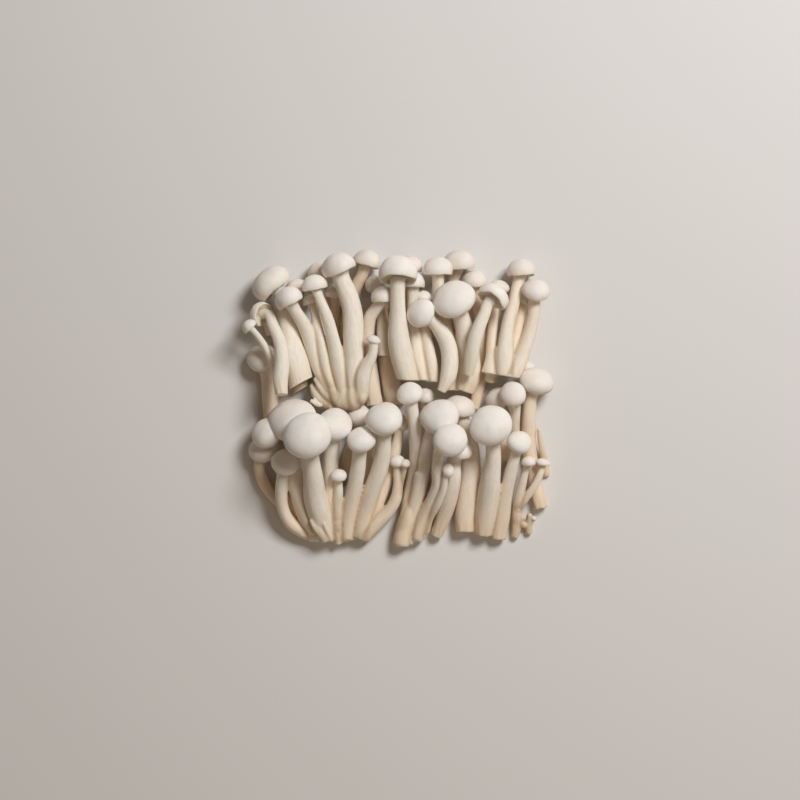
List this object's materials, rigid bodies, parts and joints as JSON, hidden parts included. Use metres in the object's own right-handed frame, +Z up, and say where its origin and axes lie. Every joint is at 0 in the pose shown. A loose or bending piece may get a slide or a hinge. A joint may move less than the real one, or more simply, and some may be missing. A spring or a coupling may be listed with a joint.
{
  "type": "bunch of white shimeji mushrooms",
  "caption": "Heap of white shimeji mushrooms, some in clumps still joined at their cut bases and some loose, lying on each other with round caps and slim curved stems.",
  "frame": {"origin": "on the table under the middle of the heap", "axes": "+X to the right and +Y towards the far caps as the heap is seen from above, +Z up"},
  "size_m": [0.128, 0.1227, 0.0357],
  "materials": {
    "pale_flesh": "matt, waxy, faintly translucent mushroom flesh: white caps and cream stems"
  },
  "bodies": {
    "root": {"clump_lower_left": "pale_flesh", "clump_lower_middle": "pale_flesh", "clump_lower_right": "pale_flesh", "clump_centre": "pale_flesh", "clump_upper_middle": "pale_flesh", "clump_upper_right": "pale_flesh", "clump_upper_left": "pale_flesh", "clump_inner_right": "pale_flesh", "clump_small_right": "pale_flesh", "pair_right_edge": "pale_flesh", "pair_inner_right": "pale_flesh", "mushroom_broad": "pale_flesh", "mushroom_open_left": "pale_flesh", "mushroom_small_left": "pale_flesh", "mushroom_low_left": "pale_flesh", "mushroom_under_left": "pale_flesh", "mushroom_left_edge": "pale_flesh", "mushroom_under_middle": "pale_flesh", "mushroom_bent": "pale_flesh", "mushroom_short": "pale_flesh", "mushroom_lone_bend": "pale_flesh", "mushroom_under_right": "pale_flesh", "mushroom_open_right": "pale_flesh", "mushroom_lower_lone": "pale_flesh", "mushroom_under_lower_middle": "pale_flesh", "mushroom_under_lower_left": "pale_flesh", "crumb": "pale_flesh", "splinter": "pale_flesh"}
  },
  "joints": []
}
